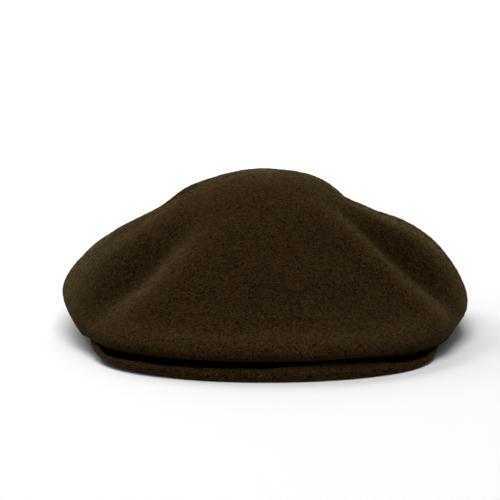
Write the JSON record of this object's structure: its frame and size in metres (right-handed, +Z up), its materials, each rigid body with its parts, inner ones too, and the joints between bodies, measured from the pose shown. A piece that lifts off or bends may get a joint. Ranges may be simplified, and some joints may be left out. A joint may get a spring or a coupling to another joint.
{
  "type": "flat cap",
  "caption": "Soft flat cap of thick wool felt: a puffed crown with drooping side lobes, pulled forward over a wide felt-covered peak.",
  "frame": {"origin": "on the table, under the middle of the whole cap's box", "axes": "+Z up, the peak points along -Y, +X to the right as seen from the front"},
  "size_m": [0.2492, 0.28, 0.097],
  "materials": {
    "crown_felt": "thick brushed wool felt, matt",
    "peak_felt": "wool felt over a stiff board, matt"
  },
  "bodies": {
    "root": {"crown": "crown_felt", "peak": "peak_felt"}
  },
  "joints": []
}
